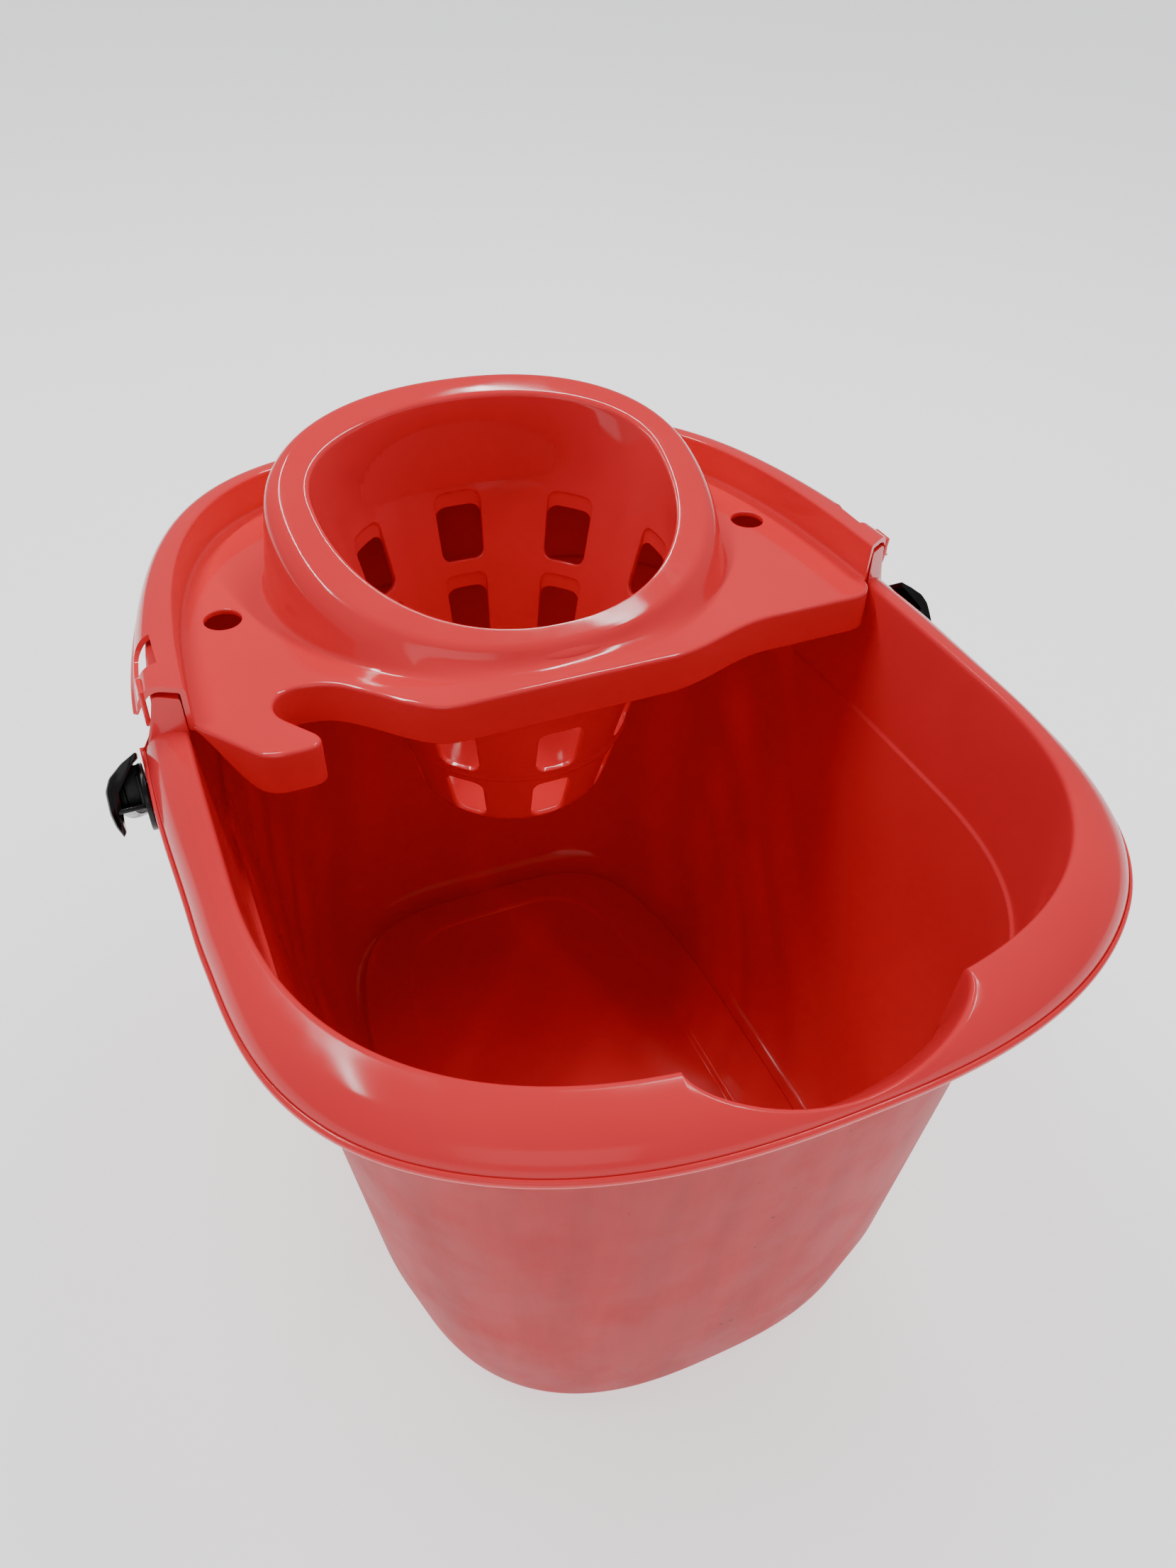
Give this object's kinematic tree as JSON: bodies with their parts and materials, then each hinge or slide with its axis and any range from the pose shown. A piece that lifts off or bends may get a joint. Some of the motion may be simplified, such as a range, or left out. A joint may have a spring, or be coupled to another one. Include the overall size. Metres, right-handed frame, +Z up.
{
  "type": "mop bucket with wringer",
  "caption": "Oblong red plastic mop bucket with a pouring lip, a lift-out wringer tray that carries a perforated basket, and a black carrying bail.",
  "frame": {"origin": "on the resting plane, under the middle of the whole object's bounding box, with the wringer seated and the bail hanging at the rear", "axes": "+Z up, -Y towards the pouring lip at the front, +Y towards the wringer end, +X to the right seen from the front facing +Y; the bail's axis is parallel to X"},
  "size_m": [0.3222, 0.3619, 0.2842],
  "materials": {
    "bucket_red": "moulded polypropylene, satin inside, dusty and scuffed outside",
    "wringer_red": "moulded polypropylene, glossy",
    "bail_black": "moulded polypropylene, semi-gloss black"
  },
  "bodies": {
    "bucket": {"bucket_shell": "bucket_red", "bracket_left": "bucket_red", "bracket_right": "bucket_red"},
    "wringer": {"wringer_tray": "wringer_red", "wringer_channel": "wringer_red", "wringer_collar": "wringer_red", "wringer_basket": "wringer_red", "wringer_basket_floor": "wringer_red"},
    "bail": {"bail_arm_left": "bail_black", "bail_arm_right": "bail_black", "bail_grip": "bail_black", "bail_pivot_left": "bail_black", "bail_pivot_right": "bail_black"}
  },
  "joints": [
    {"name": "bail_swing", "type": "hinge", "parent": "bucket", "child": "bail", "pos_m": [0, 0.0186, 0.209], "axis": [1, 0, 0], "range_deg": [0, 203]},
    {"name": "wringer_lift", "type": "slide", "parent": "bucket", "child": "wringer", "axis": [0, 0, 1], "range_m": [0, 0.15]}
  ]
}
